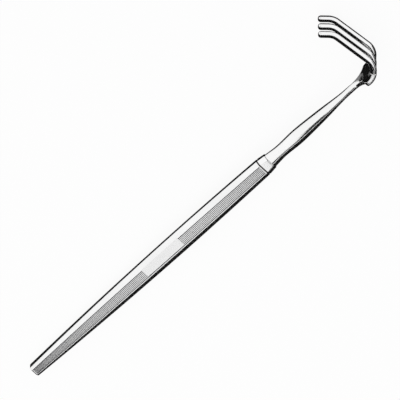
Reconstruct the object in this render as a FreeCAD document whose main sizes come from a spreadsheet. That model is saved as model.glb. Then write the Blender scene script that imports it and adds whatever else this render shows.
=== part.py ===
import FreeCAD, Part
import os
from math import cos, radians, sin

import Sketcher
from FreeCAD import Rotation, Vector

# A hand retractor with a three-pronged rake head, lying on its side.
# Millimetres. +X runs along the shaft from the butt to the head, +Y is the way the prongs are bent,
# and +Z runs across the prongs. The origin is the centre of the butt's end face.

SIZES = (
    # handle: a flat bar, widest at one station, with a bevel along each long edge
    ("handle_length", 134.5),
    ("handle_thickness", 4.6),
    ("butt_width", 5.1),
    ("widest_width", 9.1),
    ("widest_from_butt", 90.0),
    ("face_width_at_butt", 3.1),
    ("face_width_at_widest", 5.3),
    ("bevel_angle", 32.0),
    ("butt_chamfer", 0.4),
    ("bevel_overrun", 1.0),
    # flutes along both broad faces, the outermost ones wider, and the bare pad that interrupts
    # them on the upper face
    ("flute_radius", 0.15),
    ("border_flute_radius", 0.2),
    ("flute_pitch_at_butt", 0.39),
    ("flute_pitch_at_widest", 0.66),
    ("flute_start", 0.7),
    ("flute_front_margin", 0.6),
    ("pad_start", 65.5),
    ("pad_length", 21.0),
    # ferrule: the plain band in front of the handle
    ("ferrule_length", 4.0),
    ("ferrule_front_width", 7.2),
    ("ferrule_front_thickness", 4.3),
    ("ferrule_front_face_width", 3.7),
    ("ferrule_front_bevel_depth", 1.1),
    # shank: the tang in the handle, the spindle neck and the fan-shaped palm
    ("tang_diameter", 2.6),
    ("tang_length", 16.0),
    ("tang_end_clearance", 0.5),
    ("collar_width", 6.9),
    ("collar_height", 4.1),
    ("waist_from_collar", 6.4),
    ("waist_width", 5.9),
    ("waist_height", 4.5),
    ("bulge_from_waist", 9.5),
    ("bulge_width", 6.6),
    ("bulge_height", 5.4),
    ("taper_from_bulge", 13.5),
    ("taper_diameter", 5.2),
    ("slim_from_taper", 12.0),
    ("slim_diameter", 3.3),
    ("flare_from_slim", 6.6),
    ("flare_root_diameter", 3.0),
    ("flare_root_width", 2.6),
    ("flare_radius", 7.2),
    ("palm_corner_radius", 1.8),
    ("palm_cover", 0.05),
    ("palm_flat", 0.1),
    ("palm_edge_rounding", 0.9),
    ("neck_run_in", 5.0),
    ("neck_run_in_diameter", 2.0),
    ("web_sweep_angle", 38.0),
    # prongs: bent round rods with blunt tips
    ("prong_pitch", 7.3),
    ("prong_diameter", 2.8),
    ("prong_bend_angle", 95.7),
    ("prong_bend_radius", 6.6),
    ("prong_straight", 16.2),
    ("tip_bend_angle", 38.5),
    ("tip_bend_radius", 6.0),
    ("tip_length", 4.3),
    ("tip_rounding", 1.2),
    ("spigot_diameter", 1.3),
    ("spigot_length", 1.8),
    ("socket_end_clearance", 0.1),
    # braze: a sleeve round each peg and a film where two shoulders meet
    ("braze_gap", 0.1),
    ("braze_film", 0.1),
)

FLUTES_EACH_SIDE = 3
PRONGS = (("upper", 1), ("middle", 0), ("lower", -1))
TOUCHING = 1e-3

# lengths that hang on the driving sizes, as expressions over the sheet
FRONT = "sizes.handle_length"
FERRULE_BACK = "(sizes.handle_length + sizes.braze_film)"
COLLAR = f"({FERRULE_BACK} + sizes.ferrule_length)"
WAIST = f"({COLLAR} + sizes.waist_from_collar)"
BULGE = f"({WAIST} + sizes.bulge_from_waist)"
TAPER = f"({BULGE} + sizes.taper_from_bulge)"
SLIM = f"({TAPER} + sizes.slim_from_taper)"
FLARE = f"({SLIM} + sizes.flare_from_slim)"
PALM_THICKNESS = "(sizes.prong_diameter + 2 * sizes.palm_cover)"
PALM_HALF_THICKNESS = f"({PALM_THICKNESS} / 2)"
PALM_HALF_WIDTH = "(sizes.prong_pitch + sizes.prong_diameter / 2 + sizes.palm_cover)"
FLARE_REACH = "(sizes.flare_radius + sizes.palm_corner_radius)"
FLARE_RISE = f"({PALM_HALF_WIDTH} - sizes.flare_root_width / 2)"
FLARE_LENGTH = f"sqrt({FLARE_REACH} ^ 2 - ({FLARE_REACH} - {FLARE_RISE}) ^ 2)"
BEND = f"({FLARE} + {FLARE_LENGTH} + sizes.palm_flat)"
LIP_X = f"({BEND} + sizes.prong_bend_radius * sin(sizes.web_sweep_angle * 1 deg))"
LIP_Y = "(sizes.prong_bend_radius * (1 - cos(sizes.web_sweep_angle * 1 deg)))"
TANG_BORE = "(sizes.tang_diameter + 2 * sizes.braze_gap)"
SOCKET_BORE = "(sizes.spigot_diameter + 2 * sizes.braze_gap)"

doc = FreeCAD.newDocument("hand_retractor")
sizes = doc.addObject("Spreadsheet::Sheet", "sizes")
for row, (name, number) in enumerate(SIZES, start=1):
    sizes.set(f"A{row}", name)
    sizes.set(f"B{row}", str(number))
    sizes.setAlias(f"B{row}", name)
doc.recompute()


def value(expression):
    """The number that an expression over the sheet comes to."""
    result = sizes.evalExpression(expression.replace("sizes.", ""))
    return float(getattr(result, "Value", result))


def new_body(label):
    body = doc.addObject("PartDesign::Body", label)
    body.Label = label
    return body


def origin_plane(body, role):
    return next(feature for feature in body.Origin.OriginFeatures if feature.Role == role)


def place(thing, where, expressions):
    """Binds the place of a body, or of a sketch on its plane, to the sheet."""
    for axis, expression in expressions.items():
        thing.setExpression(f"{where}.{axis}", expression)


def new_sketch(body, name, plane, **offset):
    """A sketch on one of its own body's origin planes, moved off it along the plane's own axes."""
    sketch = body.newObject("Sketcher::SketchObject", name)
    sketch.AttachmentSupport = [(origin_plane(body, plane), "")]
    sketch.MapMode = "FlatFace"
    place(sketch, "AttachmentOffset.Base", offset)
    return sketch


def constrain(sketch, kind, *elements):
    return sketch.addConstraint(Sketcher.Constraint(kind, *elements))


def dimension(sketch, kind, elements, expression):
    """A dimension of a sketch whose number comes from the sheet."""
    index = constrain(sketch, kind, *elements, value(expression))
    sketch.setExpression(f"Constraints[{index}]", expression)


def fix_point(sketch, element, end, across, up):
    """Holds one point of an element at two distances from the sketch's origin."""
    dimension(sketch, "DistanceX", (-1, 1, element, end), across)
    dimension(sketch, "DistanceY", (-1, 1, element, end), up)


def draw_circle(sketch, diameter, across="0", up="0"):
    centre = Vector(value(across), value(up), 0)
    index = sketch.addGeometry(Part.Circle(centre, Vector(0, 0, 1), value(diameter) / 2))
    fix_point(sketch, index, 3, across, up)
    dimension(sketch, "Radius", (index,), f"{diameter} / 2")


def draw_ellipse(sketch, width, height):
    index = sketch.addGeometry(Part.Ellipse(Vector(0, 0, 0), value(width) / 2, value(height) / 2))
    sketch.exposeInternalGeometry(index)
    constrain(sketch, "Coincident", index, 3, -1, 1)
    constrain(sketch, "Horizontal", index + 1)
    dimension(sketch, "Distance", (index + 1,), width)
    dimension(sketch, "Distance", (index + 2,), height)


def draw_loop(sketch, corners):
    """A closed loop of straight lines through corners given as pairs of expressions."""
    points = [Vector(value(across), value(up), 0) for across, up in corners]
    count = len(points)
    for i in range(count):
        sketch.addGeometry(Part.LineSegment(points[i], points[(i + 1) % count]))
    for i in range(count):
        constrain(sketch, "Coincident", i, 2, (i + 1) % count, 1)
        fix_point(sketch, i, 1, *corners[i])


def draw_octagon(sketch, half_width, half_height, face_half_width, bevel_depth):
    """The bar's section: flat faces above and below, upright sides and a bevel at each corner."""
    side = f"({half_height} - {bevel_depth})"
    quarter = ((half_width, side), (face_half_width, half_height))
    corners = list(quarter)
    corners += [(f"-{across}", up) for across, up in reversed(quarter)]
    corners += [(f"-{across}", f"-{up}") for across, up in quarter]
    corners += [(across, f"-{up}") for across, up in reversed(quarter)]
    draw_loop(sketch, corners)


def feature(body, kind, name, profile=None):
    made = body.newObject(f"PartDesign::{kind}", name)
    if profile is not None:
        made.Profile = profile
    return made


def extrude(body, kind, name, profile, length, side="One side", reverse=False):
    made = feature(body, kind, name, profile)
    made.SideType = side
    made.Reversed = reverse
    made.setExpression("Length", length)
    return made


def sweep(body, kind, name, profile, path):
    made = feature(body, kind, name, profile)
    made.Spine = (path, ["Edge1"])
    return made


def ease_edges(body, kind, name, edges, amount):
    """Rounds or bevels some edges of what the body has so far."""
    base = body.Tip
    made = feature(body, kind, name)
    made.Base = (base, edges)
    made.setExpression("Radius" if kind == "Fillet" else "Size", amount)
    return made


def edge_names(solid, wanted):
    return [f"Edge{i}" for i, edge in enumerate(solid.Shape.Edges, start=1) if wanted(edge)]


def middle(edge):
    first, last = edge.ParameterRange
    return edge.valueAt((first + last) / 2)


# the bar's long curves: each leaves the butt at one height and peaks at the widest station


def arc_radius(at_butt, at_widest):
    rise = f"({at_widest} - {at_butt})"
    return f"((sizes.widest_from_butt ^ 2 + {rise} ^ 2) / (2 * {rise}))"


def arc_height(at_butt, at_widest, station):
    radius = arc_radius(at_butt, at_widest)
    return f"({at_widest} - {radius} + sqrt({radius} ^ 2 - ({station} - sizes.widest_from_butt) ^ 2))"


def draw_long_arc(sketch, at_butt, at_widest, start, end, side):
    """One long curve between two stations, on the +Y side (1) or the -Y side (-1)."""
    radius = arc_radius(at_butt, at_widest)
    centre_height = f"({side} * ({at_widest} - {radius}))"
    centre = Vector(value("sizes.widest_from_butt"), value(centre_height), 0)
    ends = []
    for station in (start, end):
        height = side * value(arc_height(at_butt, at_widest, station))
        ends.append(Vector(value(station), height, 0))
    crown = Vector(value("sizes.widest_from_butt"), side * value(at_widest), 0)
    circle = Part.Circle(centre, Vector(0, 0, 1), value(radius))
    first, last = sorted(circle.parameter(point) for point in ends)
    index = sketch.addGeometry(Part.ArcOfCircle(circle, first, last))
    fix_point(sketch, index, 3, "sizes.widest_from_butt", centre_height)
    dimension(sketch, "Radius", (index,), radius)
    from_start, from_end = (2, 1) if side > 0 else (1, 2)
    dimension(sketch, "DistanceX", (-1, 1, index, from_start), start)
    dimension(sketch, "DistanceX", (-1, 1, index, from_end), end)
    return index, from_start, from_end


SIDE = ("sizes.butt_width / 2", "sizes.widest_width / 2")
FACE = ("sizes.face_width_at_butt / 2", "sizes.face_width_at_widest / 2")
SLOPE = "tan(sizes.bevel_angle * 1 deg)"
FRONT_HALF_WIDTH = arc_height(*SIDE, FRONT)
FRONT_FACE_HALF_WIDTH = arc_height(*FACE, FRONT)
FRONT_BEVEL_DEPTH = f"(({FRONT_HALF_WIDTH} - {FRONT_FACE_HALF_WIDTH}) * {SLOPE})"
FRONT_SECTION = (
    FRONT_HALF_WIDTH,
    "(sizes.handle_thickness / 2)",
    FRONT_FACE_HALF_WIDTH,
    FRONT_BEVEL_DEPTH,
)


def draw_handle_outline(sketch):
    upper, upper_butt, upper_front = draw_long_arc(sketch, *SIDE, "0", FRONT, 1)
    lower, lower_butt, lower_front = draw_long_arc(sketch, *SIDE, "0", FRONT, -1)
    half = value(SIDE[0])
    front_half = value(FRONT_HALF_WIDTH)
    length = value(FRONT)
    butt_line = Part.LineSegment(Vector(0, half, 0), Vector(0, -half, 0))
    front_line = Part.LineSegment(Vector(length, -front_half, 0), Vector(length, front_half, 0))
    butt = sketch.addGeometry(butt_line)
    front = sketch.addGeometry(front_line)
    constrain(sketch, "Coincident", upper, upper_butt, butt, 1)
    constrain(sketch, "Coincident", butt, 2, lower, lower_butt)
    constrain(sketch, "Coincident", lower, lower_front, front, 1)
    constrain(sketch, "Coincident", front, 2, upper, upper_front)


def cut_bevel(body, side, face):
    """Grinds one long edge: a sloping cut that follows the flat face's own curve."""
    name = f"bevel_{'left' if side > 0 else 'right'}_{'top' if face > 0 else 'bottom'}"
    overrun = "sizes.bevel_overrun"
    reach = "sizes.widest_width / 2"
    start = f"(-{overrun})"
    surface = f"({face} * sizes.handle_thickness / 2)"
    path = new_sketch(body, f"{name}_path", "XY_Plane", z=surface)
    draw_long_arc(path, *FACE, start, f"({FRONT} + {overrun})", side)
    edge = f"({side} * {arc_height(*FACE, start)})"
    inner = f"({edge} - {side} * {overrun} / {SLOPE})"
    outer = f"({edge} + {side} * {reach})"
    above = f"({surface} + {face} * {overrun})"
    below = f"({surface} - {face} * {reach} * {SLOPE})"
    section = new_sketch(body, f"{name}_section", "YZ_Plane", z=start)
    draw_loop(section, ((inner, above), (outer, below), (outer, above)))
    sweep(body, "SubtractivePipe", name, section, path)


def cut_flute(body, number, face, start, end, span):
    """One round-bottomed flute along a broad face, spread or gathered as the face widens or narrows."""
    name = f"flute_{'top' if face > 0 else 'bottom'}_{number + FLUTES_EACH_SIDE}_{span}"
    surface = f"({face} * sizes.handle_thickness / 2)"
    path = new_sketch(body, f"{name}_path", "XY_Plane", z=surface)
    side = 1 if number > 0 else -1
    at_butt = f"({abs(number)} * sizes.flute_pitch_at_butt)"
    at_widest = f"({abs(number)} * sizes.flute_pitch_at_widest)"
    if number:
        draw_long_arc(path, at_butt, at_widest, start, end, side)
        across = f"({side} * {arc_height(at_butt, at_widest, start)})"
    else:
        path.addGeometry(Part.LineSegment(Vector(value(start), 0, 0), Vector(value(end), 0, 0)))
        fix_point(path, 0, 1, start, "0")
        fix_point(path, 0, 2, end, "0")
        across = "0"
    section = new_sketch(body, f"{name}_section", "YZ_Plane", z=start)
    radius = "sizes.border_flute_radius" if abs(number) == FLUTES_EACH_SIDE else "sizes.flute_radius"
    draw_circle(section, f"(2 * {radius})", across, surface)
    sweep(body, "SubtractivePipe", name, section, path)


def make_handle():
    body = new_body("handle")
    outline = new_sketch(body, "handle_outline", "XY_Plane")
    draw_handle_outline(outline)
    extrude(body, "Pad", "bar", outline, "sizes.handle_thickness", side="Symmetric")
    for side in (1, -1):
        for face in (1, -1):
            cut_bevel(body, side, face)
    bore = new_sketch(body, "tang_bore_outline", "YZ_Plane", z=FRONT)
    draw_circle(bore, TANG_BORE)
    extrude(body, "Pocket", "tang_bore", bore, "sizes.tang_length + sizes.tang_end_clearance")
    doc.recompute()
    butt_edges = edge_names(body, lambda edge: edge.BoundBox.XMax < TOUCHING)
    ease_edges(body, "Chamfer", "butt_edges", butt_edges, "sizes.butt_chamfer")
    flute_end = f"({FRONT} - sizes.flute_front_margin)"
    pad_end = "(sizes.pad_start + sizes.pad_length)"
    for number in range(-FLUTES_EACH_SIDE, FLUTES_EACH_SIDE + 1):
        cut_flute(body, number, -1, "sizes.flute_start", flute_end, "whole")
        if number == -FLUTES_EACH_SIDE:
            cut_flute(body, number, 1, "sizes.flute_start", flute_end, "whole")
        else:
            cut_flute(body, number, 1, "sizes.flute_start", "sizes.pad_start", "rear")
            cut_flute(body, number, 1, pad_end, flute_end, "front")
    return body


def make_ferrule():
    body = new_body("ferrule")
    back = new_sketch(body, "ferrule_back", "YZ_Plane", z=FERRULE_BACK)
    draw_octagon(back, *FRONT_SECTION)
    front = new_sketch(body, "ferrule_front", "YZ_Plane", z=COLLAR)
    draw_octagon(
        front,
        "(sizes.ferrule_front_width / 2)",
        "(sizes.ferrule_front_thickness / 2)",
        "(sizes.ferrule_front_face_width / 2)",
        "sizes.ferrule_front_bevel_depth",
    )
    band = feature(body, "AdditiveLoft", "band", back)
    band.Sections = [front]
    bore = new_sketch(body, "ferrule_bore_outline", "YZ_Plane", z=COLLAR)
    draw_circle(bore, TANG_BORE)
    extrude(body, "Pocket", "ferrule_bore", bore, "sizes.ferrule_length")
    return body


def draw_palm_outline(sketch):
    """The fan in plan: each edge swings out on the flare radius and turns back on the corner radius."""
    turn = radians(value(f"acos(1 - {FLARE_RISE} / {FLARE_REACH})"))
    flare = value("sizes.flare_radius")
    corner = value("sizes.palm_corner_radius")
    root = value("sizes.flare_root_width / 2")
    half = value(PALM_HALF_WIDTH)
    start = value(FLARE)
    corner_end = value(f"{FLARE} + {FLARE_LENGTH}")
    end = value(BEND)
    normal = Vector(0, 0, 1)
    join_across = start + flare * sin(turn)
    join_up = root + flare * (1 - cos(turn))
    edges = []
    for side in (1, -1):
        join = Vector(join_across, side * join_up, 0)
        flare_start = Vector(start, side * root, 0)
        flat_start = Vector(corner_end, side * half, 0)
        flat_end = Vector(end, side * half, 0)
        flare_circle = Part.Circle(Vector(start, side * (root + flare), 0), normal, flare)
        corner_circle = Part.Circle(Vector(corner_end, side * (half - corner), 0), normal, corner)
        flare_ends = sorted(flare_circle.parameter(point) for point in (flare_start, join))
        corner_ends = sorted(corner_circle.parameter(point) for point in (flat_start, join))
        flare_arc = sketch.addGeometry(Part.ArcOfCircle(flare_circle, *flare_ends))
        corner_arc = sketch.addGeometry(Part.ArcOfCircle(corner_circle, *corner_ends))
        flat = sketch.addGeometry(Part.LineSegment(flat_start, flat_end))
        first, second = (1, 2) if side > 0 else (2, 1)
        fix_point(sketch, flare_arc, first, FLARE, f"({side} * sizes.flare_root_width / 2)")
        constrain(sketch, "Vertical", flare_arc, 3, flare_arc, first)
        dimension(sketch, "Radius", (flare_arc,), "sizes.flare_radius")
        constrain(sketch, "Tangent", flare_arc, second, corner_arc, second)
        dimension(sketch, "Radius", (corner_arc,), "sizes.palm_corner_radius")
        constrain(sketch, "Vertical", corner_arc, 3, corner_arc, first)
        dimension(sketch, "DistanceY", (-1, 1, corner_arc, first), f"({side} * {PALM_HALF_WIDTH})")
        constrain(sketch, "Coincident", corner_arc, first, flat, 1)
        constrain(sketch, "Horizontal", flat)
        dimension(sketch, "DistanceX", (-1, 1, flat, 2), BEND)
        edges.append((flare_arc, first, flat))
    (upper_arc, upper_end, upper_flat), (lower_arc, lower_end, lower_flat) = edges
    back = sketch.addGeometry(Part.LineSegment(Vector(start, root, 0), Vector(start, -root, 0)))
    front = sketch.addGeometry(Part.LineSegment(Vector(end, -half, 0), Vector(end, half, 0)))
    constrain(sketch, "Coincident", upper_arc, upper_end, back, 1)
    constrain(sketch, "Coincident", back, 2, lower_arc, lower_end)
    constrain(sketch, "Coincident", lower_flat, 2, front, 1)
    constrain(sketch, "Coincident", front, 2, upper_flat, 2)


def is_palm_rim(edge):
    """The long rims of the palm and its curled lip, and none of the lines across or through the plate."""
    across = abs(middle(edge).z) < TOUCHING
    through = len(edge.Vertexes) == 2 and abs(edge.Length - value(PALM_THICKNESS)) < TOUCHING
    return not across and not through


def make_shank():
    body = new_body("shank")
    plan = new_sketch(body, "palm_outline", "XZ_Plane")
    draw_palm_outline(plan)
    extrude(body, "Pad", "palm", plan, PALM_THICKNESS, side="Symmetric")
    lip_section = new_sketch(body, "lip_section", "YZ_Plane", z=BEND)
    draw_loop(
        lip_section,
        (
            (f"-{PALM_HALF_THICKNESS}", f"-{PALM_HALF_WIDTH}"),
            (PALM_HALF_THICKNESS, f"-{PALM_HALF_WIDTH}"),
            (PALM_HALF_THICKNESS, PALM_HALF_WIDTH),
            (f"-{PALM_HALF_THICKNESS}", PALM_HALF_WIDTH),
        ),
    )
    radius = value("sizes.prong_bend_radius")
    half = value(PALM_HALF_WIDTH)
    axis_line = Part.LineSegment(Vector(radius, -half, 0), Vector(radius, half, 0))
    axis = lip_section.addGeometry(axis_line, True)
    fix_point(lip_section, axis, 1, "sizes.prong_bend_radius", f"-{PALM_HALF_WIDTH}")
    fix_point(lip_section, axis, 2, "sizes.prong_bend_radius", PALM_HALF_WIDTH)
    lip = feature(body, "Revolution", "lip", lip_section)
    lip.ReferenceAxis = (lip_section, ["Axis0"])
    lip.setExpression("Angle", "sizes.web_sweep_angle")
    doc.recompute()
    ease_edges(body, "Fillet", "palm_rims", edge_names(body, is_palm_rim), "sizes.palm_edge_rounding")

    stations = (
        ("collar", COLLAR, "sizes.collar_width", "sizes.collar_height"),
        ("waist", WAIST, "sizes.waist_width", "sizes.waist_height"),
        ("bulge", BULGE, "sizes.bulge_width", "sizes.bulge_height"),
        ("taper", TAPER, "sizes.taper_diameter", None),
        ("slim", SLIM, "sizes.slim_diameter", None),
        ("flare_root", FLARE, "sizes.flare_root_diameter", None),
        ("run_in", f"({FLARE} + sizes.neck_run_in)", "sizes.neck_run_in_diameter", None),
    )
    sections = []
    for name, station, width, height in stations:
        section = new_sketch(body, f"{name}_section", "YZ_Plane", z=station)
        if height:
            draw_ellipse(section, width, height)
        else:
            draw_circle(section, width)
        sections.append(section)
    neck = feature(body, "AdditiveLoft", "neck", sections[0])
    neck.Sections = sections[1:]

    tang = new_sketch(body, "tang_outline", "YZ_Plane", z=f"({FRONT} - sizes.tang_length)")
    draw_circle(tang, "sizes.tang_diameter")
    inside_neck = "sizes.waist_from_collar / 2"
    extrude(body, "Pad", "tang", tang, f"{COLLAR} - {FRONT} + sizes.tang_length + {inside_neck}")

    sockets = new_sketch(body, "socket_outlines", "YZ_Plane", x=LIP_Y, z=LIP_X)
    turn_to_lip(sockets, "AttachmentOffset", Vector(0, 1, 0))
    for _, place_across in PRONGS:
        draw_circle(sockets, SOCKET_BORE, "0", f"({place_across} * sizes.prong_pitch)")
    extrude(body, "Pocket", "sockets", sockets, "sizes.spigot_length + sizes.socket_end_clearance")
    return body


def turn_to_lip(thing, where, axis):
    """Turns a body or a sketch to face the way the palm's lip points."""
    placement = getattr(thing, where)
    placement.Rotation = Rotation(axis, value("sizes.web_sweep_angle"))
    setattr(thing, where, placement)
    thing.setExpression(f"{where}.Rotation.Angle", "sizes.web_sweep_angle")


def stand_on_lip(body, place_across, clearance):
    """Puts a body made along +X from its own origin onto the lip, in one of the prongs' places."""
    turn_to_lip(body, "Placement", Vector(0, 0, 1))
    place(
        body,
        "Placement.Base",
        {
            "x": f"{LIP_X} + {clearance} * cos(sizes.web_sweep_angle * 1 deg)",
            "y": f"{LIP_Y} + {clearance} * sin(sizes.web_sweep_angle * 1 deg)",
            "z": f"{place_across} * sizes.prong_pitch",
        },
    )


def slant(sketch, line, expression):
    """Holds a line at an angle, in degrees, from the sketch's first axis."""
    index = constrain(sketch, "Angle", line, radians(value(expression)))
    sketch.setExpression(f"Constraints[{index}]", f"{expression} * 1 deg")


def draw_prong_path(sketch):
    """From the root: the rest of the big bend, the straight, the small bend and the tip."""
    first_heading = "(sizes.prong_bend_angle - sizes.web_sweep_angle)"
    last_heading = f"({first_heading} + sizes.tip_bend_angle)"
    upward = Vector(0, 0, 1)
    point = Vector(0, 0, 0)
    heading = 0.0
    for radius, next_heading, length in (
        ("sizes.prong_bend_radius", first_heading, "sizes.prong_straight"),
        ("sizes.tip_bend_radius", last_heading, "sizes.tip_length"),
    ):
        centre = point + Rotation(upward, heading + 90).multVec(Vector(value(radius), 0, 0))
        bend = Part.Circle(centre, upward, value(radius))
        bend_end = centre + Rotation(upward, value(next_heading) - heading).multVec(point - centre)
        heading = value(next_heading)
        sketch.addGeometry(Part.ArcOfCircle(bend, bend.parameter(point), bend.parameter(bend_end)))
        point = bend_end + Rotation(upward, heading).multVec(Vector(value(length), 0, 0))
        sketch.addGeometry(Part.LineSegment(bend_end, point))
    constrain(sketch, "Coincident", 0, 1, -1, 1)
    constrain(sketch, "PointOnObject", 0, 3, -2)
    dimension(sketch, "Radius", (0,), "sizes.prong_bend_radius")
    for element in range(3):
        constrain(sketch, "Tangent", element, 2, element + 1, 1)
    dimension(sketch, "Radius", (2,), "sizes.tip_bend_radius")
    slant(sketch, 1, first_heading)
    slant(sketch, 3, last_heading)
    dimension(sketch, "Distance", (1,), "sizes.prong_straight")
    dimension(sketch, "Distance", (3,), "sizes.tip_length")


def make_prong(name, place_across):
    body = new_body(f"prong_{name}")
    path = new_sketch(body, f"prong_{name}_path", "XY_Plane")
    draw_prong_path(path)
    section = new_sketch(body, f"prong_{name}_section", "YZ_Plane")
    draw_circle(section, "sizes.prong_diameter")
    rod = feature(body, "AdditivePipe", f"prong_{name}_rod", section)
    rod.Spine = (path, ["Edge1", "Edge2", "Edge3", "Edge4"])
    doc.recompute()
    tip = path.Shape.Vertexes[-1].Point
    tip_edge = edge_names(body, lambda edge: edge.CenterOfMass.distanceToPoint(tip) < TOUCHING)
    ease_edges(body, "Fillet", f"prong_{name}_tip", tip_edge, "sizes.tip_rounding")
    spigot = new_sketch(body, f"prong_{name}_spigot_outline", "YZ_Plane")
    draw_circle(spigot, "sizes.spigot_diameter")
    extrude(body, "Pad", f"prong_{name}_spigot", spigot, "sizes.spigot_length", reverse=True)
    stand_on_lip(body, place_across, "sizes.braze_film")
    return body


def make_sleeve(body, name, start, length, outer, inner):
    ring = new_sketch(body, f"{name}_outline", "YZ_Plane", z=start)
    draw_circle(ring, outer)
    draw_circle(ring, inner)
    return extrude(body, "Pad", name, ring, length)


def make_tang_braze():
    body = new_body("tang_braze")
    start = f"({FRONT} - sizes.tang_length)"
    make_sleeve(body, "tang_sleeve", start, f"{COLLAR} - {start}", TANG_BORE, "sizes.tang_diameter")
    return body


def make_ferrule_braze():
    body = new_body("ferrule_braze")
    outline = new_sketch(body, "film_outline", "YZ_Plane", z=FRONT)
    draw_octagon(outline, *FRONT_SECTION)
    draw_circle(outline, TANG_BORE)
    extrude(body, "Pad", "film", outline, "sizes.braze_film")
    return body


def make_prong_braze(name, place_across):
    body = new_body(f"prong_{name}_braze")
    label = f"prong_{name}_film"
    make_sleeve(body, label, "0", "sizes.braze_film", "sizes.prong_diameter", "sizes.spigot_diameter")
    sleeve_start = "(sizes.braze_film - sizes.spigot_length)"
    label = f"prong_{name}_sleeve"
    make_sleeve(body, label, sleeve_start, f"-{sleeve_start}", SOCKET_BORE, "sizes.spigot_diameter")
    stand_on_lip(body, place_across, "0")
    return body


subparts = [make_handle(), make_ferrule(), make_shank(), make_tang_braze(), make_ferrule_braze()]
for prong_name, prong_place in PRONGS:
    subparts.append(make_prong(prong_name, prong_place))
    subparts.append(make_prong_braze(prong_name, prong_place))
doc.recompute()

for thing in doc.Objects:
    if "Invalid" in thing.State or "Error" in thing.State:
        raise RuntimeError(f"{thing.Label} failed: {thing.State}")
for body in subparts:
    if body.Shape.isNull() or not body.Shape.isValid() or len(body.Shape.Solids) != 1:
        raise RuntimeError(f"{body.Label} is not one valid solid")

os.makedirs("parts", exist_ok=True)
for body in subparts:
    box = body.Shape.BoundBox
    print(f"{body.Label}: {body.Shape.Volume:.2f} mm3, x {box.XMin:.2f}..{box.XMax:.2f}, ", end="")
    print(f"y {box.YMin:.2f}..{box.YMax:.2f}, z {box.ZMin:.2f}..{box.ZMax:.2f}")
    body.Shape.exportStep(f"parts/{body.Label}.step")
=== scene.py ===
from math import acos, cos, pi, radians, sin, sqrt, tan

import bmesh
import bpy
from mathutils import Matrix, Vector


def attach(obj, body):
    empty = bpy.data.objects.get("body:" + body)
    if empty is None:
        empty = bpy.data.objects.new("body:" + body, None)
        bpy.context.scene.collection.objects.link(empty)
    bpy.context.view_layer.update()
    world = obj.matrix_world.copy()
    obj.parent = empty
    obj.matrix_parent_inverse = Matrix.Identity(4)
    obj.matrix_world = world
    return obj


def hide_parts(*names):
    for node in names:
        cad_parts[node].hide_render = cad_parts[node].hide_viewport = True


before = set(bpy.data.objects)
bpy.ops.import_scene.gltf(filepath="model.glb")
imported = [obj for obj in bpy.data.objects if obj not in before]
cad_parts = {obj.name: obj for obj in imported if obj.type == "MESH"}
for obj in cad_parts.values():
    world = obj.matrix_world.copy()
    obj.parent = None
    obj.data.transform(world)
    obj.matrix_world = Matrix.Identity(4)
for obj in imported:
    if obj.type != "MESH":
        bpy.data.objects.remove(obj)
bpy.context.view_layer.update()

# A hand retractor with a three-pronged rake head, lying on its side on a pale table.
# Shape sizes are millimetres, and each finished mesh is scaled to metres. +X runs from the butt to
# the head, +Y is the way the prongs are bent and +Z runs across the prongs.
METRES = 0.001

# handle bar
HANDLE_LENGTH = 134.5
HALF_THICKNESS = 2.3
WIDEST_STATION = 90.0
SIDE_AT_BUTT, SIDE_AT_WIDEST = 2.55, 4.55
FACE_AT_BUTT, FACE_AT_WIDEST = 1.55, 2.65
BEVEL_ANGLE = radians(32)
BEVEL_SLOPE = tan(BEVEL_ANGLE)
SIDE_EDGE_RADIUS = 0.7
BUTT_ROUNDING = 0.55
SEAM_CHAMFER = 0.25
# the face's edge is rounded over this share of the plain border beside the outermost flute
FACE_EDGE_SHARE = 0.45
LEAST_FACE_ROUNDING = 0.02
# the length over which the steel beside the seam is painted dark, as painted shade in the seam's groove
SEAM_SHADE_EDGE = 0.05

# flutes
FLUTES_EACH_SIDE = 3
FLUTE_RADIUS = 0.15
BORDER_FLUTE_RADIUS = 0.2
PITCH_AT_BUTT, PITCH_AT_WIDEST = 0.39, 0.66
FLUTES_START = 0.7
FLUTES_END = HANDLE_LENGTH - 0.6
PAD_START, PAD_END = 65.5, 86.5
FLUTE_RUN_OUT = 0.4
# stations along the bar: their usual spacing, and how close one stands beside a flute's end
STATION_SPACING = 3.0
BESIDE_FLUTE_END = 0.05

# wear on the bar: the width of its bright edges; painted shade in the flutes: how fast a flute darkens with
# its depth
RUBBED_SIDE_WIDTH = 0.25
RUBBED_BUTT_LENGTH = 0.6
HOLLOW_GAIN = 2.2
# the flutes' painted shade reaches up to this far from the face's edge, and the pad is where the face is flat
# within this
FACE_MARGIN = 0.05
PAD_FLATNESS = 0.01

# steps in the rounds of the bar's and ferrule's section
FACE_ROUND_STEPS, SIDE_ROUND_STEPS = 5, 6

# ferrule, tang and neck
SEAM = 0.1
FERRULE_BACK = HANDLE_LENGTH + SEAM
COLLAR = FERRULE_BACK + 4.0
FERRULE_FRONT_HALF_WIDTH = 3.6
FERRULE_FRONT_HALF_THICKNESS = 2.15
FERRULE_FRONT_FACE_HALF_WIDTH = 1.85
FERRULE_FRONT_BEVEL_DEPTH = 1.1
FERRULE_FACE_ROUNDING = 0.25
FERRULE_SIDE_ROUNDING = 0.35
FERRULE_FRONT_ROUNDING = 0.22
RUBBED_FERRULE_LENGTH = 0.2
# the braze film's edge lies this far below the foot of the chamfers
SEAM_SINK = 0.02
SHANK_CHAMFER = 0.2
TANG_RADIUS = 1.3
TANG_BORE_RADIUS = 1.4
TANG_START = HANDLE_LENGTH - 16.0
BORE_END_GAP = 0.5
BORE_END = TANG_START - BORE_END_GAP
NECK_STATIONS = (
    # station, half width along Y, half height along Z
    (COLLAR, 3.45, 2.05),
    (COLLAR + 6.4, 2.95, 2.25),
    (COLLAR + 15.9, 3.3, 2.7),
    (COLLAR + 29.4, 2.6, 2.6),
    (COLLAR + 41.4, 1.65, 1.65),
    (COLLAR + 48.0, 1.5, 1.5),
)

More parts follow.
